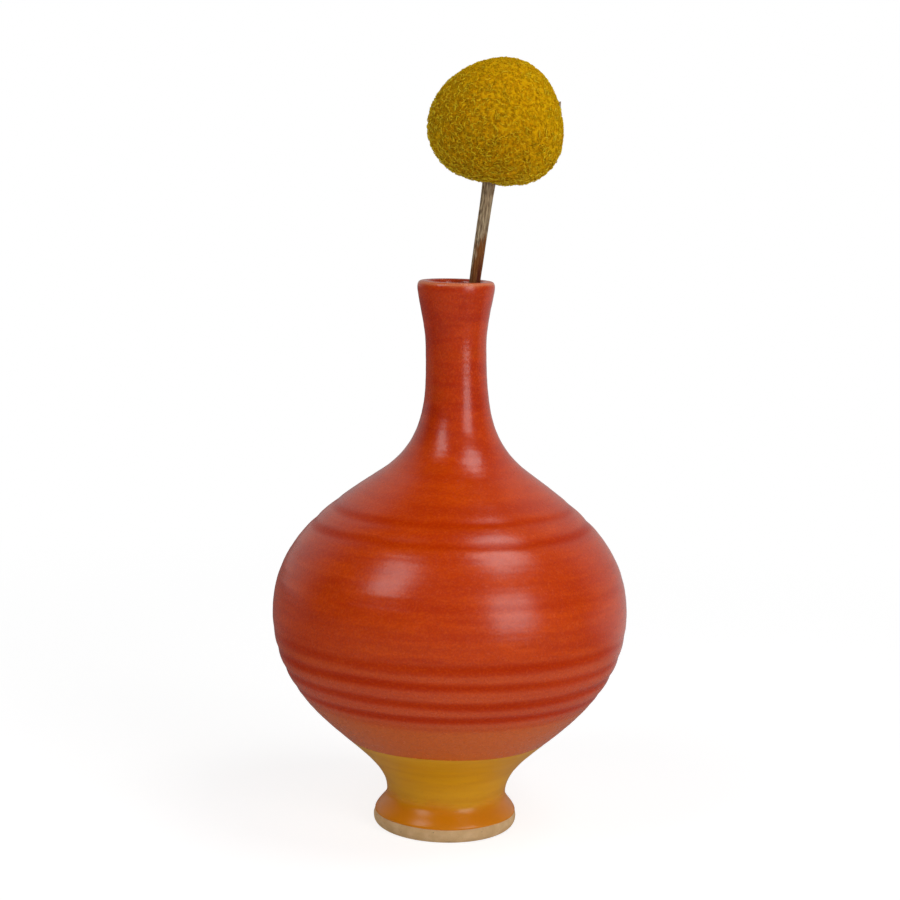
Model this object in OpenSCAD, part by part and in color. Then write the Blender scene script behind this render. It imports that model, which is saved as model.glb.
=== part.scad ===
// Wheel-thrown bud vase with one dried globe flower standing in it.
// Millimetres, +Z up. The origin is on the vase's axis, in the plane that the foot rests on.

/* [Vase outline] */
// Height of the vase, foot to lip
vase_h = 114; // [108:0.5:120]
// Widest radius of the flared foot
foot_r = 15; // [14:0.1:16]
// Narrowest radius above the foot
waist_r = 12.4; // [11.6:0.1:13]
// Widest radius of the belly
belly_r = 36.6; // [34:0.1:39]
// Height of the widest part of the belly
belly_z = 45.7; // [43:0.1:48]
// Narrowest radius of the neck
neck_r = 6.25; // [6.1:0.05:7]
// Outside radius of the flared mouth
mouth_r = 7.85; // [7.5:0.05:9]
// Radius of the hole at the mouth
bore_r = 5.4; // [5.2:0.05:5.6]

/* [Wall and glaze] */
// Wall at the belly, glaze to glaze
belly_wall = 3.2; // [2.6:0.1:4]
// Wall of the neck, glaze to glaze
neck_wall = 1.75; // [1.6:0.05:1.85]
// Clay under the middle of the inside floor, down to the plane of the foot
floor_z = 10.5; // [9.5:0.1:12]
// Thickness of each glaze coat
coat = 0.3; // [0.2:0.05:0.4]
// Height where the bare clay of the foot meets the yellow glaze
bare_line_z = 2.9; // [2.6:0.1:3.6]
// Height of the lower edge of the red glaze
red_line_z = 19.6; // [17:0.1:22]
// Height to which the yellow glaze runs on under the red
overlap_z = 29; // [26:0.5:29.5]

/* [Throwing rings] */
// Depth of the two sharp rings on the shoulder
shoulder_ring_depth = 0.15; // [0:0.05:0.3]
// Depth of the rings under the belly
belly_ring_depth = 0.2; // [0:0.05:0.3]

/* [Flower] */
// Lean of the stem from upright, in degrees
stem_lean = 7.3; // [5:0.1:8]
// Direction that the stem leans in, in degrees from +X towards +Y
lean_azimuth = 30; // [0:1:360]
// Distance of the stem from the vase's axis, in the plane of the lip
stem_offset = 3.8; // [3:0.1:3.9]
// Length of stem that shows between the lip and the flower head
stem_show = 19.5; // [12:0.5:40]
// Length of stem that stands below the lip
stem_inside = 100.5; // [60:0.5:100.5]
// Radius of the stem where it passes the lip
stem_r = 1.12; // [0.9:0.02:1.2]
// Size of the flower head, as a share of the real one
head_scale = 1; // [0.85:0.05:1.1]

/* [Hidden] */
$fn = 96;

// The foot: radius that rests, height of its widest part, and the turned recess under it
base_r = foot_r - 1;
foot_z = 1.8;
recess_r = base_r - 3.2;
recess_h = 1.6;
recess_draft = 1;

// Heights of the waist, the shoulder, the neck and the mouth
waist_z = 7;
shoulder_z = belly_z + 28.7;
shoulder_r = 0.426 * belly_r;
shoulder_way = 145;
neck_z = vase_h - 13.2;
mouth_z = vase_h - 1.6;
upright = 90;

// Stations up a wall: radius, height, direction of the wall in degrees (90 is upright),
// and how far the curve is pulled along that direction below and above the station
OUTSIDE = [
    [foot_r, foot_z, upright, 0, 2.3],
    [waist_r, waist_z, upright, 1.1, 10.8],
    [belly_r, belly_z, upright, 22.1, 13.7],
    [shoulder_r, shoulder_z, shoulder_way, 14, 11],
    [neck_r, neck_z, upright, 11.9, 4.2],
    [mouth_r, mouth_z, upright, 1.5, 0],
];

// The same for the hollow, from the middle of its floor
shoulder_wall = 2.6;
INSIDE = [
    [0, floor_z, 0, 0, 11],
    [belly_r - belly_wall, belly_z + 0.5, upright, 21, 12.5],
    [shoulder_r - shoulder_wall * sin(shoulder_way), shoulder_z + shoulder_wall * cos(shoulder_way),
        shoulder_way, 13, 10],
    [neck_r - neck_wall, neck_z - 1, upright, 12.5, 5],
    [bore_r, mouth_z, upright, 3, 0],
];
outside_steps = [6, 60, 48, 24, 10];
inside_steps = [16, 14, 12, 8];
lip_steps = 12;

// Throwing rings: height, depth, and half the width of each
RINGS = [
    [67.9, shoulder_ring_depth, 0.75],
    [64.3, shoulder_ring_depth, 0.75],
    [58.6, 0.4 * shoulder_ring_depth, 1.1],
    [54.2, 0.4 * shoulder_ring_depth, 1.2],
    [41.8, 0.7 * belly_ring_depth, 1.3],
    [38.1, belly_ring_depth, 1],
    [34.1, belly_ring_depth, 0.95],
    [30.6, belly_ring_depth, 0.85],
];

// The flower head is a lumpy ball: three round lobes about its middle, each with its direction
// in degrees from +X towards +Z, and its distance from the middle
lobe_r = 12.2 * head_scale;
LOBES = [[-43, 2.4 * head_scale], [75, 1 * head_scale], [195, 1.5 * head_scale]];
head_up = stem_show + 12.7 * head_scale;
receptacle_r = 4.2 * head_scale;
stem_in_receptacle = 1.5;
stem_foot_r = stem_r - 0.07;
stem_head_r = stem_r + 0.16;

function way(angle) = [cos(angle), sin(angle)];

function last(list) = list[len(list) - 1];

function reverse(list) = [for (i = [len(list) - 1 : -1 : 0]) list[i]];

function bezier(p, t) =
    pow(1 - t, 3) * p[0] + 3 * pow(1 - t, 2) * t * p[1] + 3 * (1 - t) * t * t * p[2] + pow(t, 3) * p[3];

function bezier_way(p, t) =
    pow(1 - t, 2) * (p[1] - p[0]) + 2 * (1 - t) * t * (p[2] - p[1]) + t * t * (p[3] - p[2]);

// The four control points of the curve from one station to the next
function between(a, b) = [
    [a[0], a[1]],
    [a[0], a[1]] + a[4] * way(a[2]),
    [b[0], b[1]] - b[3] * way(b[2]),
    [b[0], b[1]],
];

// How far the rings press into the wall at a height
function ring_depth(z, i = 0) =
    i == len(RINGS) ? 0 : RINGS[i][1] * exp(-pow((z - RINGS[i][0]) / RINGS[i][2], 2)) + ring_depth(z, i + 1);

// A point moved square to the wall: to the left of the way the wall runs
function moved(p, run, distance) = p + distance / norm(run) * [-run[1], run[0]];

// The outside of the vase from foot to mouth, set in from the glaze's surface
function outside_line(inset) = concat(
    [for (c = [0 : len(OUTSIDE) - 2], k = [0 : outside_steps[c] - 1])
        let (
            curve = between(OUTSIDE[c], OUTSIDE[c + 1]),
            t = k / outside_steps[c],
            p = bezier(curve, t)
        )
        moved(p, bezier_way(curve, t), inset + ring_depth(p[1]))],
    [[mouth_r - inset, mouth_z]]
);

// The hollow from the middle of its floor to the mouth, grown into the wall
function inside_line(grow) = concat(
    [for (c = [0 : len(INSIDE) - 2], k = [0 : inside_steps[c] - 1])
        let (
            curve = between(INSIDE[c], INSIDE[c + 1]),
            t = k / inside_steps[c]
        )
        moved(bezier(curve, t), bezier_way(curve, t), -grow)],
    [[bore_r + grow, mouth_z]]
);

// The round of the lip between the outside line and the inside line, without its two ends
function lip_line(inset) =
    let (
        half_w = (mouth_r - bore_r) / 2,
        rise = vase_h - mouth_z
    )
    [for (k = [1 : lip_steps - 1])
        let (a = 180 * k / lip_steps)
        [bore_r + half_w + (half_w - inset) * cos(a), mouth_z + (rise - inset) * sin(a)]];

// The stretch of a line from height low to height high, cut level at both ends
function crossing(line, z) =
    [for (i = [0 : len(line) - 2])
        if (line[i][1] < z && line[i + 1][1] >= z)
            line[i] + (z - line[i][1]) / (line[i + 1][1] - line[i][1]) * (line[i + 1] - line[i])];

function stretch(line, low, high) =
    concat(crossing(line, low), [for (p = line) if (p[1] > low && p[1] < high) p], crossing(line, high));

// The bare round under the foot, from the resting ring up to its widest part
function foot_round() =
    [for (a = [-90 : 15 : -15])
        [base_r + (foot_r - coat - base_r) * cos(a), foot_z + foot_z * sin(a)]];

// Clay: the whole wall, without the glaze coats
module vase_body() {
    color("#c8a373")
    rotate_extrude()
    polygon(concat(
        [[0, recess_h], [recess_r - recess_draft, recess_h], [recess_r, 0]],
        foot_round(),
        outside_line(coat),
        lip_line(coat),
        reverse(inside_line(coat))
    ));
}

// Red coat: shoulder, belly and lip, thinner where it lies over the yellow
module red_glaze() {
    color("#b43c0a")
    rotate_extrude()
    polygon(concat(
        stretch(outside_line(0), red_line_z, mouth_z),
        lip_line(0),
        [[bore_r, mouth_z], [bore_r + coat, mouth_z]],
        reverse(lip_line(coat)),
        reverse(stretch(outside_line(coat), overlap_z, mouth_z)),
        reverse(stretch(outside_line(coat / 2), red_line_z, overlap_z))
    ));
}

// Yellow coat: foot and waist, running on under the red
module yellow_glaze() {
    color("#b97a08")
    rotate_extrude()
    polygon(concat(
        stretch(outside_line(0), bare_line_z, red_line_z),
        stretch(outside_line(coat / 2), red_line_z, overlap_z),
        reverse(stretch(outside_line(coat), bare_line_z, overlap_z))
    ));
}

// Coat over the whole inside of the hollow, up to the red coat on the lip
module liner_glaze() {
    color("#8a3410")
    rotate_extrude()
    polygon(concat(inside_line(coat), reverse(inside_line(0))));
}

// The stem's own axis: its origin is in the plane of the lip and +Z runs up the stem
module along_stem() {
    rotate([0, 0, lean_azimuth])
    translate([stem_offset, 0, vase_h])
    rotate([0, stem_lean, 0])
    children();
}

// The middle of the flower head, turned back to the vase's own directions
module at_head() {
    along_stem()
    translate([0, 0, head_up])
    rotate([0, -stem_lean, 0])
    rotate([0, 0, -lean_azimuth])
    children();
}

module stem_shape() {
    along_stem()
    translate([0, 0, -stem_inside])
    cylinder(h = stem_inside, r1 = stem_foot_r, r2 = stem_r);
    along_stem()
    cylinder(h = head_up - receptacle_r + stem_in_receptacle, r1 = stem_r, r2 = stem_head_r);
}

// Dried stem: loose in the neck, its top end set into the receptacle
module stem() {
    color("#8f785a")
    stem_shape();
}

// Woody middle of the flower head, which carries the florets
module receptacle() {
    color("#8a6a20")
    difference() {
        at_head() sphere(r = receptacle_r);
        stem_shape();
    }
}

// Packed florets: the whole ball around the receptacle
module floret_head() {
    color("#c39a08")
    difference() {
        at_head()
        for (lobe = LOBES)
            rotate([0, -lobe[0], 0])
            translate([lobe[1], 0, 0])
            sphere(r = lobe_r);
        at_head() sphere(r = receptacle_r);
        stem_shape();
    }
}

vase_body();
red_glaze();
yellow_glaze();
liner_glaze();
stem();
receptacle();
floret_head();
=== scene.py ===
import math

import bmesh
import bpy
import numpy as np
from mathutils import Matrix, Vector
from mathutils.kdtree import KDTree


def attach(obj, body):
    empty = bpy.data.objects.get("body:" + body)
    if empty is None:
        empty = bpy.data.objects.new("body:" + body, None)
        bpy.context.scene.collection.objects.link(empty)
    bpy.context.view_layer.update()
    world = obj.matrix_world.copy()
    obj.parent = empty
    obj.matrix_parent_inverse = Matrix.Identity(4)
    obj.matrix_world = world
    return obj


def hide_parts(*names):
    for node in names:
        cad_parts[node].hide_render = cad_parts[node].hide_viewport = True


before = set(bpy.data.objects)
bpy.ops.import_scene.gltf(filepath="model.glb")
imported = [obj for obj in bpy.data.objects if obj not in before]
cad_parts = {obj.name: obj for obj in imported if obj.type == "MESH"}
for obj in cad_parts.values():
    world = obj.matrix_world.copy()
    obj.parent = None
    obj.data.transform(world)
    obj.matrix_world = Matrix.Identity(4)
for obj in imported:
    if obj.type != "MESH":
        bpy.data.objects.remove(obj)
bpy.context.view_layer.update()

MM = 0.001

# ---------------------------------------------------------------- the vase's form, in millimetres
VASE_H = 114.0
MOUTH_R, MOUTH_Z = 7.85, VASE_H - 1.6
BORE_R = 5.4
LIP_RISE = 1.4
NECK_R, NECK_Z = 6.25, VASE_H - 13.2
BELLY_R, BELLY_Z = 36.6, 45.7
WAIST_R, WAIST_Z = 12.4, 7.0
FOOT_R, FOOT_Z = 15.0, 1.8
# The flat ring that the vase rests on, and the recess that is turned inside it
BASE_R = FOOT_R - 1
RECESS_R, RECESS_H = BASE_R - 3.2, 1.6
FLOOR_Z = 10.5
BELLY_WALL, NECK_WALL = 3.2, 1.75
# Glaze: thickness of a coat, how deep its back lies, and the lower edges of the yellow and the red
COAT = 0.3
UNDER_COAT = COAT - 0.02
BARE_LINE = 2.9
RED_LINE = 19.6
# Stations up the outside: radius, height, direction of the wall in degrees, pull below, pull above
OUTSIDE = [
    (FOOT_R, FOOT_Z, 90, 0, 2.3),
    (WAIST_R, WAIST_Z, 90, 1.8, 10.8),
    (BELLY_R, BELLY_Z, 90, 22.1, 13.7),
    (15.6, BELLY_Z + 28.7, 145, 14, 11),
    (NECK_R, NECK_Z, 90, 11.9, 4.2),
    (MOUTH_R, MOUTH_Z, 90, 1.5, 0),
]
# The same for the hollow, from the middle of its floor
INSIDE = [
    (0, FLOOR_Z, 0, 0, 11),
    (BELLY_R - BELLY_WALL, BELLY_Z + 0.5, 90, 21, 12.5),
    (14.1, BELLY_Z + 26.6, 145, 13, 10),
    (NECK_R - NECK_WALL, NECK_Z - 1, 90, 12.5, 5),
    (BORE_R, MOUTH_Z, 90, 3, 0),
]
# Throwing rings: height, depth, half width, how far the ring climbs round the vase, where it is highest
RINGS = [
    (67.9, 0.13, 0.75, 0.5, 40),
    (64.3, 0.15, 0.80, 0.5, 20),
    (60.6, 0.03, 1.00, 0.7, 100),
    (58.0, 0.04, 1.10, 0.8, 200),
    (53.8, 0.05, 1.20, 0.9, 160),
    (49.5, 0.02, 1.30, 0.8, 60),
    (41.8, 0.12, 1.10, 0.4, 0),
    (38.1, 0.17, 0.90, 0.3, 90),
    (34.1, 0.19, 0.85, 0.3, 60),
    (30.6, 0.18, 0.72, 0.3, 30),
    (28.3, 0.05, 0.70, 0.3, 10),
]
# How far the middle of the wall is off the axis at heights up the vase: its slight hand-made bend
BEND_Z = [0, 3, 10, 18, 26, 50, 70, 75, 80, 90, 100, 108, 114]
BEND_X = [0, 0.2, 0.33, 0.22, 0, 0, 0.22, 0.4, 0.41, 0.3, -0.08, -0.38, -0.46]
# How far the lip dips towards the front, as a slope
MOUTH_TILT = 0.012
# Points round the wall, and the finest step along its outline
COLUMNS = 192
FINE_STEP = 0.1

# ---------------------------------------------------------------- the flower, in millimetres
STEM_LEAN = math.radians(7.3)
STEM_AZIMUTH = math.radians(30)
STEM_OFFSET = 3.8
STEM_SHOW = 19.5
STEM_INSIDE = 100.5
HEAD_UP = 32.2
HEAD_SHIFT = (-0.18, 0, 0)
HEAD_R = 12.9
# The lumps of the head, round the Y axis: how many, how high, where one is highest (degrees, +X to +Z)
HEAD_WAVES = [(1, 0.47, -34), (2, 0.52, -4), (3, 0.60, -43), (4, 0.18, -41)]
FLORET_COUNT = 2900
# Florets have their own scale: a distance of 1 over the unit ball is 13 mm on the head
BALL_MM = 13.0


def way(degrees):
    return np.array([math.cos(math.radians(degrees)), math.sin(math.radians(degrees))])


def wall_line(stations, step):
    """Evenly spaced points along the curve through the stations, and how far along each one is."""
    t = np.linspace(0, 1, 600)[:, None]
    dense = []
    for a, b in zip(stations[:-1], stations[1:]):
        p0, p3 = np.array(a[:2], float), np.array(b[:2], float)
        p1, p2 = p0 + a[4] * way(a[2]), p3 - b[3] * way(b[2])
        dense.append((1 - t) ** 3 * p0 + 3 * (1 - t) ** 2 * t * p1 + 3 * (1 - t) * t * t * p2 + t ** 3 * p3)
    dense = np.vstack(dense)
    keep = np.r_[True, np.linalg.norm(np.diff(dense, axis=0), axis=1) > 1e-9]
    dense = dense[keep]
    far = np.r_[0, np.cumsum(np.linalg.norm(np.diff(dense, axis=0), axis=1))]
    even = np.linspace(0, far[-1], int(far[-1] / step) + 1)
    return np.column_stack([np.interp(even, far, dense[:, 0]), np.interp(even, far, dense[:, 1])]), even


SKIN, SKIN_FAR = wall_line(OUTSIDE, FINE_STEP)
SKIN_NORMAL = np.gradient(SKIN, axis=0)
SKIN_NORMAL = np.column_stack([SKIN_NORMAL[:, 1], -SKIN_NORMAL[:, 0]])
SKIN_NORMAL /= np.linalg.norm(SKIN_NORMAL, axis=1)[:, None]
THETA = np.linspace(0, 2 * math.pi, COLUMNS, endpoint=False)


def far_at(z):
    """How far along the outside line it passes a height."""
    return np.interp(z, SKIN[:, 1], SKIN_FAR)


def ring_depth(z, theta):
    """How deep the throwing rings are at a height and a direction."""
    depth = np.zeros(np.broadcast(z, theta).shape)
    for ring_z, deep, half, climb, start in RINGS:
        sway = climb * 0.5 * np.cos(theta - math.radians(start)) + 0.12 * np.sin(3 * theta + ring_z)
        strength = 0.85 + 0.15 * np.sin(2 * theta + ring_z)
        depth += deep * strength * np.exp(-((z - ring_z - sway) / half) ** 2)
    return depth


def hand_wobble(z, theta):
    """The slight unevenness of a thrown wall, outwards: broad lobes and fine finger lines."""
    broad = 0.10 * np.sin(2 * theta + z / 17) + 0.06 * np.sin(3 * theta - z / 11 + 1)
    climbing = z + 0.35 * theta / math.pi
    fine = 0.008 * np.sin(climbing * 2.3 + 0.4 * np.sin(theta)) + 0.005 * np.sin(climbing * 5.1 + 1.3)
    return (broad + fine) * np.clip(z / 20, 0.15, 1)


def skin_at(far, theta, out=0.0):
    """The outside surface at distances along its line (rows) and directions (columns), moved out by out."""
    r = np.interp(far, SKIN_FAR, SKIN[:, 0])
    z = np.interp(far, SKIN_FAR, SKIN[:, 1])
    nr = np.interp(far, SKIN_FAR, SKIN_NORMAL[:, 0])
    nz = np.interp(far, SKIN_FAR, SKIN_NORMAL[:, 1])
    rings = ring_depth(z, theta)
    move = out - rings + hand_wobble(z, theta)
    return r + nr * move, z + nz * move, rings


def lip_at(angle, inset):
    """The lip's section, from the outside (0) over its flat top (90) to the bore (180)."""
    half_w = (MOUTH_R - BORE_R) / 2
    a = np.radians(angle)
    across_lip = np.sign(np.cos(a)) * np.abs(np.cos(a)) ** 0.6
    r = BORE_R + half_w + (half_w - inset) * across_lip
    return r, MOUTH_Z + (LIP_RISE - inset) * np.abs(np.sin(a)) ** 0.72


# ---------------------------------------------------------------- mesh helpers
def make_object(name, vertices, faces, body, material, replaced=(), attributes=None):
    mesh = bpy.data.meshes.new(name)
    mesh.from_pydata([tuple(v) for v in np.asarray(vertices) * MM], [], faces)
    for key, values in (attributes or {}).items():
        layer = mesh.attributes.new(key, "FLOAT", "POINT")
        layer.data.foreach_set("value", np.asarray(values, np.float32))
    mesh.validate()
    mesh.polygons.foreach_set("use_smooth", [True] * len(mesh.polygons))
    mesh.materials.append(material)
    piece = bpy.data.objects.new(name, mesh)
    bpy.context.scene.collection.objects.link(piece)
    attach(piece, body)
    if replaced:
        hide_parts(*replaced)
    return piece


def grid_faces(rows, columns, close_rows):
    """Quads of a grid whose columns wrap round, and whose rows do if close_rows."""
    faces = []
    for i in range(rows if close_rows else rows - 1):
        a, b = i * columns, (i + 1) % rows * columns
        for j in range(columns):
            k = (j + 1) % columns
            faces.append((a + j, a + k, b + k, b + j))
    return faces


def capped_grid(points, columns, first, last):
    """Vertices and faces of a grid whose columns wrap round, with a fan to a point at each end."""
    count = len(points)
    faces = grid_faces(count // columns, columns, False)
    for j in range(columns):
        k = (j + 1) % columns
        faces.append((count, k, j))
        faces.append((count + 1, count - columns + j, count - columns + k))
    return np.vstack([points, first, last]), faces


def around(r, z):
    """Points of a nearly round, slightly bent wall, from radius and height grids (rows by COLUMNS)."""
    theta = np.broadcast_to(THETA, r.shape)
    bend = np.interp(z, BEND_Z, BEND_X)
    tilt = MOUTH_TILT * np.clip((z - 100) / 12, 0, 1) * r * np.sin(theta)
    return np.stack([r * np.cos(theta) + bend, r * np.sin(theta), z + tilt], axis=-1).reshape(-1, 3)


def spread(column):
    """One outline repeated in every direction."""
    return np.repeat(np.asarray(column, float)[:, None], COLUMNS, axis=1)


# ---------------------------------------------------------------- material helpers
class Surface:
    """A Principled material whose nodes are made by short calls. Coordinates are in millimetres."""

    def __init__(self, name, roughness, **sockets):
        self.material = bpy.data.materials.new(name)
        self.material.use_nodes = True
        self.tree = self.material.node_tree
        self.shader = self.tree.nodes["Principled BSDF"]
        self.shader.inputs["Roughness"].default_value = roughness
        for socket, value in sockets.items():
            self.shader.inputs[socket.replace("_", " ")].default_value = value
        place = self.tree.nodes.new("ShaderNodeTexCoord")
        self.place = self.scaled(place.outputs["Object"], (1 / MM,) * 3)

    def link(self, value, socket):
        if isinstance(value, bpy.types.NodeSocket):
            self.tree.links.new(value, socket)
        elif isinstance(value, tuple) and len(value) == 3 and socket.type == "RGBA":
            socket.default_value = (*value, 1)
        else:
            socket.default_value = value

    def scaled(self, vector, scale):
        node = self.tree.nodes.new("ShaderNodeMapping")
        self.link(vector, node.inputs["Vector"])
        node.inputs["Scale"].default_value = scale
        return node.outputs["Vector"]

    def noise(self, scale, detail, stretch=(1, 1, 1)):
        node = self.tree.nodes.new("ShaderNodeTexNoise")
        self.link(self.scaled(self.place, stretch), node.inputs["Vector"])
        node.inputs["Scale"].default_value = scale
        node.inputs["Detail"].default_value = detail
        return node.outputs["Fac"]

    def ramp(self, value, low, high, a=0.0, b=1.0):
        """value from low to high becomes a to b, smoothly."""
        node = self.tree.nodes.new("ShaderNodeMapRange")
        node.interpolation_type = "SMOOTHSTEP"
        self.link(value, node.inputs["Value"])
        for socket, number in zip(("From Min", "From Max", "To Min", "To Max"), (low, high, a, b)):
            node.inputs[socket].default_value = number
        return node.outputs["Result"]

    def math(self, kind, a, b=0.0):
        """Arithmetic on sockets or numbers; ABSOLUTE uses only the first."""
        node = self.tree.nodes.new("ShaderNodeMath")
        node.operation = kind
        self.link(a, node.inputs[0])
        self.link(b, node.inputs[1])
        return node.outputs["Value"]

    def mix(self, share, a, b):
        """Colour a, turned into colour b by a share."""
        node = self.tree.nodes.new("ShaderNodeMix")
        node.data_type = "RGBA"
        self.link(share, node.inputs["Factor"])
        self.link(a, node.inputs[6])
        self.link(b, node.inputs[7])
        return node.outputs[2]

    def height(self):
        node = self.tree.nodes.new("ShaderNodeSeparateXYZ")
        self.link(self.place, node.inputs["Vector"])
        return node.outputs["Z"]

    def attribute(self, name):
        node = self.tree.nodes.new("ShaderNodeAttribute")
        node.attribute_name = name
        return node.outputs["Fac"]

    def specks(self, pitch, size, share):
        """Small round dots, one in a share of the cells of a loose grid."""
        node = self.tree.nodes.new("ShaderNodeTexVoronoi")
        self.link(self.place, node.inputs["Vector"])
        node.inputs["Scale"].default_value = 1 / pitch
        dot = self.ramp(node.outputs["Distance"], size / pitch, 0.6 * size / pitch)
        split = self.tree.nodes.new("ShaderNodeSeparateColor")
        self.link(node.outputs["Color"], split.inputs["Color"])
        chosen = self.math("LESS_THAN", split.outputs["Red"], share)
        return self.math("MULTIPLY", dot, chosen)

    def curls(self, scale):
        """Thin curly lines."""
        off = self.math("ABSOLUTE", self.math("SUBTRACT", self.noise(scale, 1), 0.5))
        return self.ramp(off, 0.04, 0.01)

    def bump(self, height, strength, distance, normal=None):
        node = self.tree.nodes.new("ShaderNodeBump")
        node.inputs["Strength"].default_value = strength
        node.inputs["Distance"].default_value = distance * MM
        self.link(height, node.inputs["Height"])
        if normal is not None:
            self.link(normal, node.inputs["Normal"])
        return node.outputs["Normal"]

    def finish(self, color, roughness=None, normal=None):
        self.link(color, self.shader.inputs["Base Color"])
        if roughness is not None:
            self.link(roughness, self.shader.inputs["Roughness"])
        if normal is not None:
            self.link(normal, self.shader.inputs["Normal"])
        return self.material


# ---------------------------------------------------------------- materials
def red_glaze_material():
    s = Surface("satin_red_glaze", 0.3)
    orange, red, deep = (0.74, 0.070, 0.0005), (0.62, 0.045, 0.0005), (0.46, 0.024, 0.0005)
    salmon, thin = (0.72, 0.13, 0.010), (0.74, 0.20, 0.075)
    bands = s.noise(0.55, 3, (0.10, 0.10, 1))
    clouds = s.noise(0.07, 2)
    color = s.mix(s.ramp(bands, 0.35, 0.65), red, orange)
    color = s.mix(s.ramp(clouds, 0.35, 0.7, 0, 0.45), color, red)
    height = s.height()
    streaks = s.noise(0.24, 3, (0.3, 0.3, 1))
    on_neck = s.ramp(height, 72, 88, 0.2, 0.65)
    color = s.mix(s.ramp(height, 74, 90, 0, 0.45), color, (0.52, 0.026, 0.0004))
    color = s.mix(s.math("MULTIPLY", on_neck, s.ramp(streaks, 0.55, 0.42)), color, (0.47, 0.022, 0.0003))
    color = s.mix(s.math("MULTIPLY", on_neck, s.ramp(streaks, 0.52, 0.66)), color, (0.57, 0.052, 0.0005))
    # Pinkish on the ridges between the lower throwing grooves: painted sheen.
    ridge_sheen = s.math("MULTIPLY", s.ramp(height, 44, 40), s.ramp(s.attribute("groove"), 0.6, 0.15))
    color = s.mix(s.math("MULTIPLY", ridge_sheen, 0.45), color, (0.72, 0.10, 0.020))
    over_yellow = s.ramp(s.math("ADD", height, s.ramp(bands, 0, 1, -0.8, 0.8)), 30.4, 26.5)
    color = s.mix(over_yellow, color, salmon)
    # Deeper, darker red down in the throwing grooves: partly glaze pooled thicker there, partly painted
    # shade.
    color = s.mix(s.ramp(s.attribute("groove"), 0.25, 1.0, 0, 0.62), color, (0.46, 0.020, 0.0003))
    grain = s.noise(2.6, 1)
    color = s.mix(s.ramp(grain, 0.47, 0.62, 0, 0.25), color, deep)
    color = s.mix(s.ramp(grain, 0.46, 0.36, 0, 0.2), color, (0.84, 0.12, 0.004))
    color = s.mix(s.specks(9.0, 0.16, 0.14), color, (0.86, 0.50, 0.28))
    color = s.mix(s.ramp(s.attribute("lip"), 0.1, 0.9, 0, 0.9), color, thin)
    rough = s.ramp(s.noise(0.9, 3), 0.3, 0.7, 0.22, 0.28)
    s.link(s.ramp(s.attribute("groove"), 0.3, 0.9, 0.5, 0.1), s.shader.inputs["Specular IOR Level"])
    normal = s.bump(s.noise(2.2, 1), 0.5, 0.03)
    normal = s.bump(s.noise(1.3, 3, (0.12, 0.12, 1)), 0.15, 0.04, normal)
    return s.finish(color, rough, normal)


def yellow_glaze_material():
    s = Surface("ochre_glaze", 0.24, Specular_IOR_Level=0.4)
    ochre, gold, amber = (0.74, 0.32, 0.0015), (0.82, 0.385, 0.003), (0.78, 0.25, 0.001)
    bands = s.noise(0.5, 3, (0.12, 0.12, 1))
    color = s.mix(s.ramp(bands, 0.35, 0.65), ochre, gold)
    pooled = s.ramp(s.math("ADD", s.height(), s.ramp(s.noise(0.12, 2), 0, 1, -1.8, 1.8)), 8.6, 5.8)
    color = s.mix(pooled, color, amber)
    color = s.mix(s.ramp(s.noise(2.5, 3), 0.55, 0.8, 0, 0.3), color, (0.50, 0.15, 0.001))
    color = s.mix(s.specks(6.0, 0.14, 0.25), color, (0.16, 0.05, 0.01))
    rough = s.ramp(s.height(), 6.0, 11.0, 0.26, 0.32)
    normal = s.bump(s.noise(0.8, 3, (0.3, 0.3, 1)), 0.3, 0.06)
    return s.finish(color, rough, normal)


def bare_clay_material():
    s = Surface("speckled_clay", 0.82)
    color = s.mix(s.ramp(s.noise(0.35, 3), 0.3, 0.7), (0.67, 0.43, 0.20), (0.79, 0.54, 0.28))
    color = s.mix(s.ramp(s.noise(4.0, 3), 0.55, 0.75, 0, 0.5), color, (0.54, 0.33, 0.15))
    color = s.mix(s.specks(1.1, 0.12, 0.35), color, (0.16, 0.09, 0.045))
    color = s.mix(s.specks(1.7, 0.16, 0.3), color, (0.88, 0.72, 0.50))
    normal = s.bump(s.noise(5.0, 4), 0.6, 0.06)
    return s.finish(color, None, normal)


def liner_material():
    s = Surface("shaded_red_liner", 0.38)
    # The inside is painted a darker red-brown than the red glaze outside: painted shade of the hollow.
    shaded_deep_red, shaded_red_orange = (0.22, 0.035, 0.008), (0.36, 0.075, 0.02)
    color = s.mix(s.ramp(s.noise(0.5, 3, (0.2, 0.2, 1)), 0.35, 0.65), shaded_deep_red, shaded_red_orange)
    return s.finish(color, None, s.bump(s.noise(1.2, 3), 0.3, 0.05))


def stem_material():
    s = Surface("stem_fibre", 0.8, Specular_IOR_Level=0.2)
    fibre = s.noise(6.5, 4, (1, 1, 0.06))
    color = s.mix(s.ramp(fibre, 0.36, 0.60), (0.13, 0.08, 0.042), (0.54, 0.41, 0.25))
    color = s.mix(s.ramp(s.attribute("rib"), 0.4, 0.0, 0, 0.5), color, (0.12, 0.07, 0.035))
    # Red-brown towards the mouth and near black at it: partly a real brown stain, partly painted shade of
    # the mouth and painted red reflection of the glaze.
    stain_and_shade = s.math("ADD", s.attribute("stain_and_shade"), s.ramp(s.noise(1.1, 3, (1, 1, 0.15)), 0.3, 0.7, -0.3, 0.3))
    color = s.mix(s.ramp(stain_and_shade, 0.15, 0.6, 0, 0.92), color, (0.21, 0.062, 0.006))
    color = s.mix(s.ramp(stain_and_shade, 0.85, 1.3), color, (0.10, 0.014, 0.004))
    return s.finish(color, None, s.bump(fibre, 0.8, 0.10))


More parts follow.
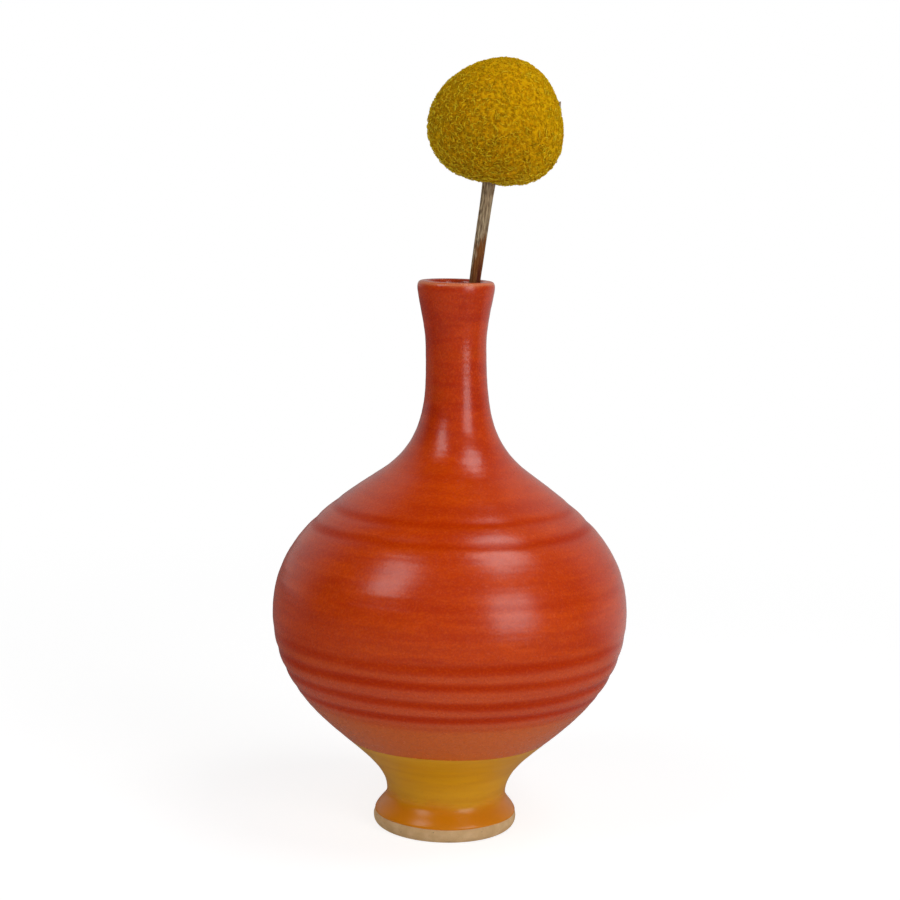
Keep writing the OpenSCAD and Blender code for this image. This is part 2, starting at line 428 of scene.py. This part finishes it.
def floret_material():
    s = Surface("floret_gold", 0.9, Specular_IOR_Level=0.05, Subsurface_Weight=0.3,
                Subsurface_Scale=0.8 * MM, Subsurface_Radius=(1, 0.9, 0.5))
    tip_and_pit_shade, tint, loose = s.attribute("tip_and_pit_shade"), s.attribute("tint"), s.attribute("open")
    pit_shade, gold, light = (0.38, 0.165, 0.0003), (0.77, 0.395, 0.0004), (1.0, 0.70, 0.018)
    curls = s.math("MAXIMUM", s.curls(1.3), s.curls(2.1))
    # Dark patches in the gaps between open florets: painted shade.
    gap_shade = s.math("MULTIPLY", s.ramp(s.noise(1.7, 2), 0.46, 0.36), loose)
    # Dark where the tip value is low, down in the florets' throats: painted shade.
    color = s.mix(s.ramp(tip_and_pit_shade, 0.05, 0.5), pit_shade, gold)
    # Open florets, low on the left, turn lighter orange: partly their looser petals, partly painted light
    # that brightens that side.
    color = s.mix(s.ramp(loose, 0.3, 1, 0, 0.45), color, (0.80, 0.37, 0.0004))
    color = s.mix(s.math("MULTIPLY", gap_shade, 0.6), color, (0.24, 0.09, 0.0005))
    color = s.mix(s.ramp(tint, 0.6, 1.0, 0, 0.3), color, (0.78, 0.44, 0.001))
    color = s.mix(s.ramp(tint, 0.3, 0.0, 0, 0.25), color, (0.78, 0.38, 0.001))
    color = s.mix(s.ramp(s.noise(0.16, 2), 0.45, 0.7, 0, 0.3), color, (0.80, 0.48, 0.001))
    # More pale curl lines on the open lower left: partly looser petals, partly painted light on that side.
    color = s.mix(s.math("MULTIPLY", curls, s.ramp(loose, 0.2, 1, 0.15, 0.55)), color, light)
    color = s.mix(s.ramp(tip_and_pit_shade, 0.6, 0.95, 0, 0.95), color, light)
    return s.finish(color, None, s.bump(curls, 0.7, 0.06, s.bump(s.noise(8.0, 2), 0.4, 0.03)))


# ---------------------------------------------------------------- the vase
def closed_ring(lines):
    """Vertices and faces of a ring with a closed section: grids of (r, z), one after another."""
    r = np.vstack([line[0] for line in lines])
    z = np.vstack([line[1] for line in lines])
    return around(r, z), grid_faces(len(r), COLUMNS, True)


def rounded_edge(from_edge, width, drop):
    """How far a coat moves out towards its edge, which is rounded: 0 away from it, -drop at it."""
    return -drop * (1 - np.sqrt(1 - np.clip(1 - from_edge / width, 0, 1) ** 2))


def make_red_coat(material):
    """The red coat: up the outside from its wandering lower edge, over the lip, back along the clay."""
    theta = THETA[None, :]
    rows, lip_rows, under_rows = 345, 25, 50
    edge_z = RED_LINE + 0.22 * np.sin(theta + 0.6) + 0.10 * np.sin(4 * theta + 2)
    start, end = far_at(edge_z), SKIN_FAR[-1]
    far = start + (end - start) * np.linspace(0, 1, rows)[:, None]
    r, z, rings = skin_at(far, theta, rounded_edge(far - start, 0.35, 0.14))
    angles = np.linspace(0, 180, lip_rows)[1:]
    lip_r, lip_z = (spread(v) for v in lip_at(angles, 0))
    fade = (1 - angles / 180)[:, None]
    lip_r = lip_r + fade * hand_wobble(np.full_like(lip_z, MOUTH_Z), theta)
    under_far = start + (end - start) * np.linspace(1, 0, under_rows)[:, None]
    under_r, under_z, _ = skin_at(under_far, theta, -UNDER_COAT)
    inner_lip_r, inner_lip_z = (spread(v) for v in lip_at(angles[::-3], COAT))
    vertices, faces = closed_ring([(r, z), (lip_r, lip_z), (inner_lip_r, inner_lip_z), (under_r, under_z)])
    hidden = len(inner_lip_r) + len(under_r)
    # The groove value also carries the painted shade in the grooves and the painted sheen on the ridges
    # between them.
    groove = np.vstack([np.sqrt(rings / 0.17), np.zeros((len(lip_r) + hidden, COLUMNS))])
    near_lip = 0.12 * np.clip((z - 112.1) / 0.3, 0, 1)
    on_lip = np.interp(angles, [0, 22, 45, 62, 90, 150, 180], [0.12, 0.35, 1, 0.6, 0.45, 0.15, 0])
    on_lip = on_lip[:, None] + 0.12 * np.sin(7 * theta) * np.sin(3 * theta + 1)
    lip = np.vstack([near_lip, on_lip, np.zeros((hidden, COLUMNS))])
    return make_object("red_coat", vertices, faces, "vase", material, ["red_glaze"],
                       {"groove": groove.ravel(), "lip": lip.ravel()})


def make_yellow_coat(material):
    """The yellow coat: from its rounded edge above the bare clay, up under the red coat."""
    theta = THETA[None, :]
    rows, under_rows = 110, 24
    edge_z = BARE_LINE + 0.12 * np.sin(theta + 2.2) + 0.05 * np.sin(5 * theta)
    start, end = far_at(edge_z), far_at(RED_LINE + 1.6)
    far = start + (end - start) * np.linspace(0, 1, rows)[:, None] ** 1.15
    under_red = -0.12 * np.clip(far - far_at(RED_LINE - 0.6), 0, 1)
    r, z, _ = skin_at(far, theta, rounded_edge(far - start, 0.4, COAT - 0.1) + under_red)
    under_far = start + (end - start) * np.linspace(1, 0, under_rows)[:, None]
    under_r, under_z, _ = skin_at(under_far, theta, -UNDER_COAT)
    vertices, faces = closed_ring([(r, z), (under_r, under_z)])
    return make_object("yellow_coat", vertices, faces, "vase", material, ["yellow_glaze"])


def make_clay_body(material):
    """The whole clay wall; its foot and its underside show."""
    theta = THETA[None, :]
    roof_r = np.linspace(0.4, RECESS_R - 1, 26)
    turning = 0.05 * np.sin(roof_r * 5.2)
    draft = np.linspace(0, 1, 6)[1:]
    under_r = np.r_[roof_r, RECESS_R - 1 + draft, RECESS_R + 0.4, BASE_R - 0.9]
    under_z = np.r_[RECESS_H + turning, RECESS_H * (1 - draft ** 1.5), 0, 0]
    bend = np.radians(np.linspace(-90, 0, 14))
    swell = FOOT_R - 0.08 - BASE_R + 0.4
    foot_r = BASE_R - 0.4 + swell * np.cos(bend)
    foot_z = FOOT_Z + FOOT_Z * np.sin(bend)
    under_coat = far_at(BARE_LINE + 0.7)
    low_far = under_coat * np.linspace(0.05, 1, 10)[:, None]
    sink = np.linspace(-0.08, -COAT, 10)[:, None]
    low_r, low_z, _ = skin_at(low_far + 0 * theta, theta, sink)
    high_far = under_coat + (SKIN_FAR[-1] - under_coat) * np.linspace(0, 1, 90)[1:, None]
    high_r, high_z, _ = skin_at(high_far + 0 * theta, theta, -COAT)
    lip_r, lip_z = (spread(v) for v in lip_at(np.linspace(0, 180, 9)[1:], COAT))
    inside, _ = wall_line(INSIDE, 1.5)
    inside_r = np.maximum(inside[::-1, 0], 0.4) + COAT * (inside[::-1, 0] > 3)
    inside_z = inside[::-1, 1] - 0.8 * COAT
    chatter = 0.03 * np.sin(7 * theta + 3) * np.sin(foot_z[:, None] * 2)
    r = np.vstack([spread(under_r), spread(foot_r) + chatter, low_r, high_r, lip_r, spread(inside_r[1:])])
    z = np.vstack([spread(under_z), spread(foot_z), low_z, high_z, lip_z, spread(inside_z[1:])])
    vertices, faces = capped_grid(around(r, z), COLUMNS, (0, 0, under_z[0]), (0, 0, inside_z[-1]))
    return make_object("clay_body", vertices, faces, "vase", material, ["vase_body"])


def make_liner(material):
    """The coat inside the hollow, from the middle of the floor up to the red coat on the lip."""
    inside, _ = wall_line(INSIDE, 0.9)
    tangent = np.gradient(inside, axis=0)
    normal = np.column_stack([tangent[:, 1], -tangent[:, 0]])
    normal /= np.linalg.norm(normal, axis=1)[:, None]
    outer = inside + (COAT - 0.03) * normal
    inner_r, inner_z = spread(np.maximum(inside[1:, 0], 0.3)), spread(inside[1:, 1])
    outer_r, outer_z = spread(np.maximum(outer[:0:-1, 0], 0.3)), spread(outer[:0:-1, 1])
    finger = 0.05 * np.sin(inner_z * 1.9 + 0.3 * THETA[None, :])
    r = np.vstack([inner_r + finger * (inner_r > 3), outer_r])
    z = np.vstack([inner_z, outer_z])
    vertices, faces = capped_grid(around(r, z), COLUMNS, (0, 0, inside[0, 1]), (0, 0, outer[0, 1]))
    return make_object("liner_coat", vertices, faces, "vase", material, ["liner_glaze"])


# ---------------------------------------------------------------- the flower
STEM_WAY = np.array([math.sin(STEM_LEAN) * math.cos(STEM_AZIMUTH),
                     math.sin(STEM_LEAN) * math.sin(STEM_AZIMUTH), math.cos(STEM_LEAN)])
STEM_AT_LIP = np.array([STEM_OFFSET * math.cos(STEM_AZIMUTH), STEM_OFFSET * math.sin(STEM_AZIMUTH), VASE_H])
HEAD_MIDDLE = STEM_AT_LIP + HEAD_UP * STEM_WAY + HEAD_SHIFT


def across(direction):
    """Two unit vectors square to a direction and to each other."""
    u = np.cross(direction, [0.0, 1.0, 0.0])
    u /= np.linalg.norm(u)
    return u, np.cross(direction, u)


def make_stem(material):
    """A ribbed dried stem, a little crooked, thicker under the head, with its cut end in the vase."""
    rows, sides, ribs = 210, 72, 11
    rng = np.random.default_rng(7)
    length = STEM_INSIDE + HEAD_UP - 4
    along = np.linspace(0, 1, rows)
    up = -STEM_INSIDE + length * along
    radius = np.interp(up, [-STEM_INSIDE, 0, STEM_SHOW - 3, STEM_SHOW + 2], [1.02, 1.10, 1.22, 1.36])
    bend_share = np.clip((up + STEM_INSIDE) / 30, 0, 1) * np.clip((12 - up) / 12 + 1, 0.4, 1)
    bend = 0.10 * np.sin(up / 9.0 + 1) * bend_share
    u, v = across(STEM_WAY)
    angle = np.linspace(0, 2 * math.pi, sides, endpoint=False)
    twist = 0.012 * up[:, None] + 0.15 * np.sin(up / 14)[:, None]
    rib_wave = np.cos(ribs * (angle[None, :] + twist))
    uneven = rng.normal(0, 0.010, (rows, sides))
    uneven = (uneven + np.roll(uneven, 1, 0) + np.roll(uneven, 2, 0) + np.roll(uneven, -1, 0)) / 2
    r = radius[:, None] * (1 + 0.055 * rib_wave) + uneven
    shift = 0.16 * np.clip((up + 6) / 6, 0, 1)
    centre = STEM_AT_LIP + up[:, None] * STEM_WAY + bend[:, None] * u + shift[:, None] * np.array([1, 0, 0])
    outward = np.cos(angle)[:, None] * u + np.sin(angle)[:, None] * v
    points = (centre[:, None, :] + r[..., None] * outward).reshape(-1, 3)
    vertices, faces = capped_grid(points, sides, centre[0] + 0.15 * STEM_WAY, centre[-1])
    right = outward @ np.array([0.9, -0.4, 0])
    # How stained and shaded the stem is: more lower down and on its right; near the mouth it stands for
    # painted shade and painted glaze reflection as well as stain.
    stain_and_shade = np.clip((9 + 4.5 * right[None, :] - up[:, None]) / 11, 0, 1.1)
    rib_values = np.r_[(0.5 + 0.5 * rib_wave).ravel(), 0.5, 0.5]
    stain_and_shade_values = np.r_[stain_and_shade.ravel(), 1, 0]
    return make_object("ribbed_stem", vertices, faces, "flower", material, ["stem"],
                       {"stain_and_shade": stain_and_shade_values, "rib": rib_values})


def head_radius(direction):
    """Distance from the head's middle to its surface, for unit directions along the last axis."""
    angle = np.arctan2(direction[..., 2], direction[..., 0])
    flat = np.hypot(direction[..., 0], direction[..., 2])
    reach = HEAD_R + 0.33 * flat ** 2
    for count, rise, start in HEAD_WAVES:
        reach = reach + rise * flat ** count * np.cos(count * (angle - math.radians(start)))
    return reach


def even_directions(count):
    """Unit vectors spread evenly over a ball, on a golden spiral."""
    i = np.arange(count) + 0.5
    z = 1 - 2 * i / count
    turn = i * math.pi * (3 - math.sqrt(5))
    flat = np.sqrt(1 - z * z)
    return np.column_stack([flat * np.cos(turn), flat * np.sin(turn), z])


def unit(vectors):
    return vectors / np.linalg.norm(vectors, axis=-1, keepdims=True)


def floret_directions(rng):
    directions = even_directions(FLORET_COUNT)
    return unit(directions + rng.normal(0, 0.018, directions.shape))


def openness(direction):
    """How open the florets are: little up and to the right, where the head is smooth, and 1 low left."""
    return np.clip(0.55 - 0.75 * (direction @ unit(np.array([0.6, 0.1, 0.75]))), 0.2, 1)


def make_floret_mass(material, florets):
    """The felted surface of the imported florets: a pit at each throat, and a ridge between florets."""
    ball = bmesh.new()
    bmesh.ops.create_icosphere(ball, subdivisions=7, radius=1)
    direction = unit(np.array([v.co[:] for v in ball.verts]))
    faces = [tuple(v.index for v in f.verts) for f in ball.faces]
    ball.free()
    tree = KDTree(len(florets))
    for i, place in enumerate(florets):
        tree.insert(place, i)
    tree.balance()
    near = np.array([[hit[2] for hit in tree.find_n(d, 2)] for d in direction]) * BALL_MM
    which = np.array([tree.find(d)[1] for d in direction])
    rng = np.random.default_rng(5)
    depth = rng.uniform(0.45, 1.0, len(florets))[which] * openness(direction)
    pit = np.exp(-(near[:, 0] / rng.uniform(0.18, 0.36, len(florets))[which]) ** 2)
    ridge = np.exp(-((near[:, 1] - near[:, 0]) / 0.30) ** 2)
    grain = rng.normal(0, 0.025, len(direction))
    height = -0.16 - 0.30 * depth * pit + 0.12 * ridge + grain
    points = HEAD_MIDDLE + direction * (head_radius(direction) + height)[:, None]
    # The tip value is low down in the pits, where the colour is painted shade, and higher on the ridges.
    tip_and_pit_shade = 0.44 + 0.22 * ridge - 0.40 * pit * depth
    tint = rng.uniform(0, 1, len(florets))[which]
    return make_object("floret_mass", points, faces, "flower", material,
                       ["floret_head", "receptacle"],
                       {"tip_and_pit_shade": tip_and_pit_shade, "tint": tint, "open": openness(direction)})


def make_strands(name, material, florets, rng, per_floret, reach, size, shine, rise):
    """Curled petal tips: thin three-sided strands that wind out from each throat over its neighbours.

    reach, size, shine and rise are ranges: how far a strand winds out, how thick it is, how pale its
    tip is, and how high it stands over the head.
    """
    centre = np.repeat(florets, per_floret, axis=0)
    count, steps = len(centre), 7
    u = unit(np.cross(centre, [0.13, 0.97, 0.21]))
    v = np.cross(centre, u)
    t = np.linspace(0, 1, steps + 1)[None, :]

    def pick(low, high):
        return rng.uniform(low, high, (count, 1))

    start, sweep = pick(0, 2 * math.pi), pick(0.5, 3.4) * rng.choice([-1, 1], (count, 1))
    inner, outer = pick(0.16, 0.34), pick(*reach)
    rho = inner + (outer - inner) * t + 0.13 * np.sin(math.pi * pick(1.5, 3) * t + pick(0, 6.3))
    turn = start + sweep * t + 0.35 * np.sin(math.pi * pick(1.5, 3.5) * t + pick(0, 6.3))
    lift = pick(*rise) * (0.35 + 0.65 * openness(centre))[:, None]
    height = -0.20 + (lift + 0.20) * np.sin(math.pi * np.clip(t * 1.02 + 0.08, 0, 1)) ** 0.8
    flat = (rho * np.cos(turn))[..., None] * u[:, None] + (rho * np.sin(turn))[..., None] * v[:, None]
    direction = unit(centre[:, None] + flat / BALL_MM)
    line = direction * (head_radius(direction) + height)[..., None]
    along = unit(np.gradient(line, axis=1))
    side = unit(np.cross(along, direction))
    up = np.cross(side, along)
    radius = pick(*size) * (0.75 + 0.5 * np.sin(math.pi * t) - 0.35 * t ** 3)
    corner = np.radians([90, 210, 330])
    ring = [line + radius[..., None] * (math.sin(c) * up + math.cos(c) * side) for c in corner]
    points = np.stack(ring, axis=2).reshape(-1, 3) + HEAD_MIDDLE
    per_strand = 3 * (steps + 1)
    base = per_strand * np.arange(count)[:, None]
    quads = np.array(grid_faces(steps + 1, 3, False))
    faces = (base[:, :, None] + quads[None]).reshape(-1, 4).tolist()
    ends = np.array([(2, 1, 0), (3 * steps, 3 * steps + 1, 3 * steps + 2)])
    faces += (base[:, :, None] + ends[None]).reshape(-1, 3).tolist()
    bright = pick(*shine)
    tip_and_pit_shade = np.repeat(0.42 + 0.58 * bright * np.sin(math.pi * np.clip(t + 0.1, 0, 1)), 3, axis=1)
    tint = np.repeat(pick(0, 1), per_strand)
    open_values = np.repeat(openness(centre), per_strand)
    return make_object(name, points, faces, "flower", material, ["floret_head"],
                       {"tip_and_pit_shade": tip_and_pit_shade.ravel(), "tint": tint, "open": open_values})


def make_flower_head(material):
    rng = np.random.default_rng(41)
    florets = floret_directions(rng)
    florets = florets[florets @ -STEM_WAY < math.cos(0.12)]
    make_floret_mass(material, florets)
    for i in range(2):
        make_strands(f"floret_tips_{i + 1}", material, florets[i::2], rng, 3,
                     reach=(0.35, 0.85), size=(0.040, 0.065), shine=(0.1, 0.5), rise=(0, 0.2))
    loose = florets[rng.random(len(florets)) < 0.85 * openness(florets) ** 1.2]
    make_strands("floret_curls", material, loose, rng, 1,
                 reach=(0.8, 1.7), size=(0.065, 0.095), shine=(0.85, 1.0), rise=(0.20, 0.38))


def make_fleck(material):
    """A dry scale that stands out a little from the head, at its right."""
    rows, columns, thick = 7, 5, 0.12
    half_length, half_width = 1.1, 0.5
    up_right = math.radians(14)
    outward = unit(np.array([math.cos(up_right), -0.1, math.sin(up_right)]))
    upward = np.array([-0.25, 0, 0.97])
    aside = np.cross(outward, upward)
    centre = HEAD_MIDDLE + outward * (head_radius(outward) - 0.1)
    along, over = np.linspace(-1, 1, rows)[:, None], np.linspace(-1, 1, columns)[None, :]
    width = half_width * np.sqrt(1 - 0.9 * along ** 2)
    rise = 0.35 + 0.3 * along - 0.25 * over ** 2
    sheet = centre + half_length * along[..., None] * upward + (width * over)[..., None] * aside
    sheet = (sheet + rise[..., None] * outward).reshape(-1, 3)
    points = np.vstack([sheet, sheet - thick * outward])
    half = rows * columns
    faces = []
    for i in range(rows - 1):
        for j in range(columns - 1):
            k = i * columns + j
            faces.append((k, k + 1, k + columns + 1, k + columns))
            faces.append((half + k, half + k + columns, half + k + columns + 1, half + k + 1))
    rim = list(range(columns)) + [i * columns + columns - 1 for i in range(1, rows)]
    rim += [(rows - 1) * columns + j for j in range(columns - 2, -1, -1)]
    rim += [i * columns for i in range(rows - 2, 0, -1)]
    faces += [(a, half + a, half + b, b) for a, b in zip(rim, rim[1:] + rim[:1])]
    return make_object("dry_scale", points, faces, "flower", material, ["floret_head"],
                       {"stain_and_shade": np.full(len(points), 0.35), "rib": np.full(len(points), 0.6)})


# ---------------------------------------------------------------- the studio
# Brightness of the wall behind, the room in front and its left side, and how much of the room the
# glaze mirrors
WALL, ROOM_FRONT, ROOM_LEFT = 0.45, 0.31, 0.08
GLOSS_SHARE = 0.1
# The floor as the camera sees it (grey that takes the shadow, and the white added to it), as it lights
# the vase (grey and glow), and as the glaze mirrors it (near, and in front)
FLOOR_SHADE, FLOOR_LIFT = 0.42, 0.78
FLOOR_MATTE, FLOOR_BOUNCE = 0.62, 0.16
FLOOR_NEAR, FLOOR_FRONT = 0.45, 0.1
SOFTBOX_FAR = 0.75


def make_camera():
    """The camera in front of the vase and a little above its neck, looking slightly down."""
    distance, height = 401 * MM, 135.4 * MM
    pitch, roll, yaw = math.radians(8.0), math.radians(1.55), math.radians(0.116)
    data = bpy.data.cameras.new("camera")
    data.sensor_width = 36
    data.lens = 78.8
    data.clip_start, data.clip_end = 0.01, 50
    camera = bpy.data.objects.new("camera", data)
    bpy.context.scene.collection.objects.link(camera)
    level = Matrix.Rotation(yaw, 4, "Z") @ Matrix.Rotation(math.pi / 2 - pitch, 4, "X")
    turned = level @ Matrix.Rotation(roll, 4, "Z")
    camera.matrix_world = Matrix.Translation((0, -distance, height)) @ turned
    bpy.context.scene.camera = camera


def make_softbox(name, azimuth, elevation, width, height, power):
    """A soft light, seen from the vase at an azimuth (0 is the front, 90 the right) and an elevation."""
    a, e = math.radians(azimuth), math.radians(elevation)
    target = Vector((0, 0, 0.06))
    away = Vector((math.sin(a) * math.cos(e), -math.cos(a) * math.cos(e), math.sin(e)))
    data = bpy.data.lights.new(name, "AREA")
    data.shape = "RECTANGLE"
    data.size, data.size_y = width, height
    data.energy = power
    light = bpy.data.objects.new(name, data)
    bpy.context.scene.collection.objects.link(light)
    light.location = target + away * SOFTBOX_FAR
    light.rotation_mode = "QUATERNION"
    light.rotation_quaternion = (-away).to_track_quat("-Z", "Y")


def smooth_range(tree, value, low, high, a, b):
    """A node that takes value from low..high to a..b smoothly."""
    node = tree.nodes.new("ShaderNodeMapRange")
    node.interpolation_type = "SMOOTHSTEP"
    tree.links.new(value, node.inputs["Value"])
    for socket, number in zip(("From Min", "From Max", "To Min", "To Max"), (low, high, a, b)):
        node.inputs[socket].default_value = number
    return node.outputs["Result"]


def coordinates(tree, kind):
    """The X, Y and Z of a texture coordinate."""
    place = tree.nodes.new("ShaderNodeTexCoord")
    split = tree.nodes.new("ShaderNodeSeparateXYZ")
    tree.links.new(place.outputs[kind], split.inputs["Vector"])
    return split.outputs


def distance_from(tree, point):
    """Distance from a point, in the object's own coordinates."""
    place = tree.nodes.new("ShaderNodeTexCoord")
    far = tree.nodes.new("ShaderNodeVectorMath")
    far.operation = "DISTANCE"
    tree.links.new(place.outputs["Object"], far.inputs[0])
    far.inputs[1].default_value = point
    return far.outputs["Value"]


def product(tree, first, second):
    node = tree.nodes.new("ShaderNodeMath")
    node.operation = "MULTIPLY"
    tree.links.new(first, node.inputs[0])
    tree.links.new(second, node.inputs[1])
    return node.outputs["Value"]


def grey(tree, kind, brightness, strength=None):
    """A shader of one grey; a glow may take its strength from a socket."""
    node = tree.nodes.new(kind)
    node.inputs["Color"].default_value = (brightness, brightness, brightness, 1)
    if strength is not None:
        tree.links.new(strength, node.inputs["Strength"])
    return node.outputs[0]


def added(tree, first, second):
    node = tree.nodes.new("ShaderNodeAddShader")
    tree.links.new(first, node.inputs[0])
    tree.links.new(second, node.inputs[1])
    return node.outputs["Shader"]


def mixed(tree, share, first, second):
    node = tree.nodes.new("ShaderNodeMixShader")
    tree.links.new(share, node.inputs["Fac"])
    tree.links.new(first, node.inputs[1])
    tree.links.new(second, node.inputs[2])
    return node.outputs["Shader"]


def floor_material():
    """Seen by the camera, it takes a soft shadow near the vase and fades to white; else it is grey."""
    material = bpy.data.materials.new("floor")
    material.use_nodes = True
    tree = material.node_tree
    tree.nodes.remove(tree.nodes["Principled BSDF"])
    matte, glow = "ShaderNodeBsdfDiffuse", "ShaderNodeEmission"
    fade = smooth_range(tree, distance_from(tree, (0, 0, 0)), 0.10, 0.34, 0, 1)
    shaded = added(tree, grey(tree, matte, FLOOR_SHADE), grey(tree, glow, FLOOR_LIFT))
    seen = mixed(tree, fade, shaded, grey(tree, glow, 1.0))
    place = coordinates(tree, "Object")
    behind = smooth_range(tree, place["Y"], 0.0, 0.12, 0, 1)
    sweep = smooth_range(tree, place["X"], -0.1, 0.1, 0.15, 0.5)
    far = mixed(tree, behind, grey(tree, matte, FLOOR_FRONT), grey(tree, glow, 1.0, sweep))
    away = smooth_range(tree, distance_from(tree, (0.02, 0, 0)), 0.07, 0.12, 0, 1)
    mirrored = mixed(tree, away, grey(tree, matte, FLOOR_NEAR), far)
    lighting = added(tree, grey(tree, matte, FLOOR_MATTE), grey(tree, glow, FLOOR_BOUNCE))
    path = tree.nodes.new("ShaderNodeLightPath")
    look = mixed(tree, path.outputs["Is Glossy Ray"], lighting, mirrored)
    look = mixed(tree, path.outputs["Is Camera Ray"], look, seen)
    tree.links.new(look, tree.nodes["Material Output"].inputs["Surface"])
    return material


def make_floor():
    """A pale round floor that fades into the white surround away from the vase."""
    rings, sides, reach = 24, 96, 4.0
    radii = reach * np.linspace(0.02, 1, rings) ** 2
    angle = np.linspace(0, 2 * math.pi, sides, endpoint=False)
    points = [(0, 0, 0)] + [(r * math.cos(a), r * math.sin(a), 0) for r in radii for a in angle]
    faces = [(0, 1 + j, 1 + (j + 1) % sides) for j in range(sides)]
    faces += [tuple(1 + i for i in f) for f in grid_faces(rings, sides, False)]
    mesh = bpy.data.meshes.new("floor")
    mesh.from_pydata(points, [], faces)
    mesh.materials.append(floor_material())
    floor = bpy.data.objects.new("floor", mesh)
    bpy.context.scene.collection.objects.link(floor)


def make_world():
    """A pale wall behind the vase and a dimmer room in front, darkest left; plain white to the camera."""
    world = bpy.data.worlds.new("studio")
    bpy.context.scene.world = world
    world.use_nodes = True
    tree = world.node_tree
    side = coordinates(tree, "Generated")
    path = tree.nodes.new("ShaderNodeLightPath")
    in_front = smooth_range(tree, side["X"], -0.6, -0.2, ROOM_LEFT, ROOM_FRONT)
    in_glaze = smooth_range(tree, path.outputs["Is Glossy Ray"], 0, 1, 1, GLOSS_SHARE)
    wall = tree.nodes.new("ShaderNodeMix")
    tree.links.new(smooth_range(tree, side["Y"], 0.05, 0.6, 0, 1), wall.inputs["Factor"])
    tree.links.new(product(tree, in_front, in_glaze), wall.inputs["A"])
    wall.inputs["B"].default_value = WALL
    below_ceiling = smooth_range(tree, side["Z"], 0.75, 0.9, 1, 0.1)
    surround = tree.nodes["Background"]
    surround.inputs["Color"].default_value = (1, 1, 1, 1)
    tree.links.new(product(tree, wall.outputs["Result"], below_ceiling), surround.inputs["Strength"])
    plain = grey(tree, "ShaderNodeBackground", 1.0)
    look = mixed(tree, path.outputs["Is Camera Ray"], surround.outputs["Background"], plain)
    tree.links.new(look, tree.nodes["World Output"].inputs["Surface"])


make_camera()
make_world()
make_floor()
make_softbox("window_left", -48, 42, 0.26, 0.42, 1.2)
make_softbox("window_right", 40, 17, 0.34, 0.46, 1.6)
make_softbox("window_right_high", 62, 62, 0.34, 0.30, 1.35)
bpy.context.scene.view_settings.view_transform = "Standard"

make_clay_body(bare_clay_material())
make_yellow_coat(yellow_glaze_material())
make_red_coat(red_glaze_material())
make_liner(liner_material())
fibre = stem_material()
make_stem(fibre)
make_fleck(fibre)
make_flower_head(floret_material())
